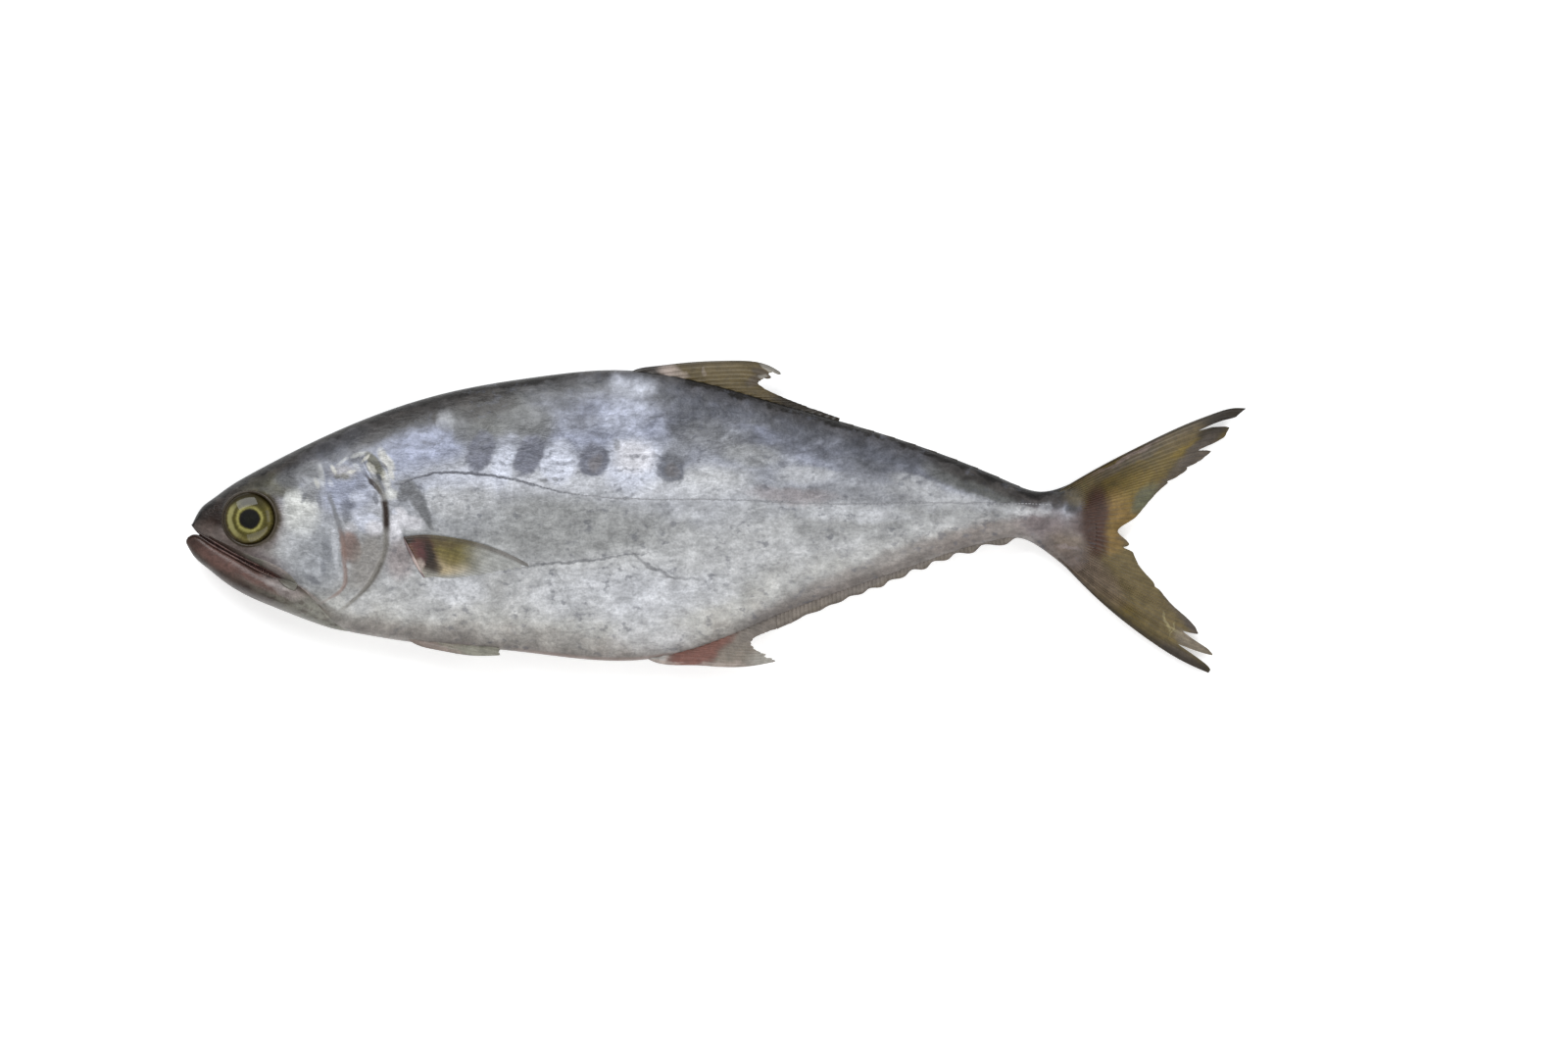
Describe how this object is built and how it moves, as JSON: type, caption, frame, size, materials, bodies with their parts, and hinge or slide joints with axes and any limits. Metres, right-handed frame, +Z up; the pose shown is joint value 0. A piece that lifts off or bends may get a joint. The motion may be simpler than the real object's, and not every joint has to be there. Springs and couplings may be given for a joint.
{
  "type": "whole raw fish",
  "caption": "Whole raw silver fish lying on its side: deep flat body, pointed head with a long lower jaw, gill cover, low swept fins and a deeply forked tail with frayed tips.",
  "frame": {"origin": "middle of the bounding box, on the surface the fish lies on", "axes": "+X from the jaws to the tail, +Y from the belly to the back, +Z up, out of the left flank"},
  "size_m": [0.45, 0.1319, 0.031],
  "materials": {
    "skin": "wet silver skin with a dark back, a row of grey spots and olive fins",
    "eye": "clear wet cornea over a pale gold iris and a black pupil"
  },
  "bodies": {
    "root": {"fish": "skin", "eye_left": "eye", "eye_right": "eye"}
  },
  "joints": []
}
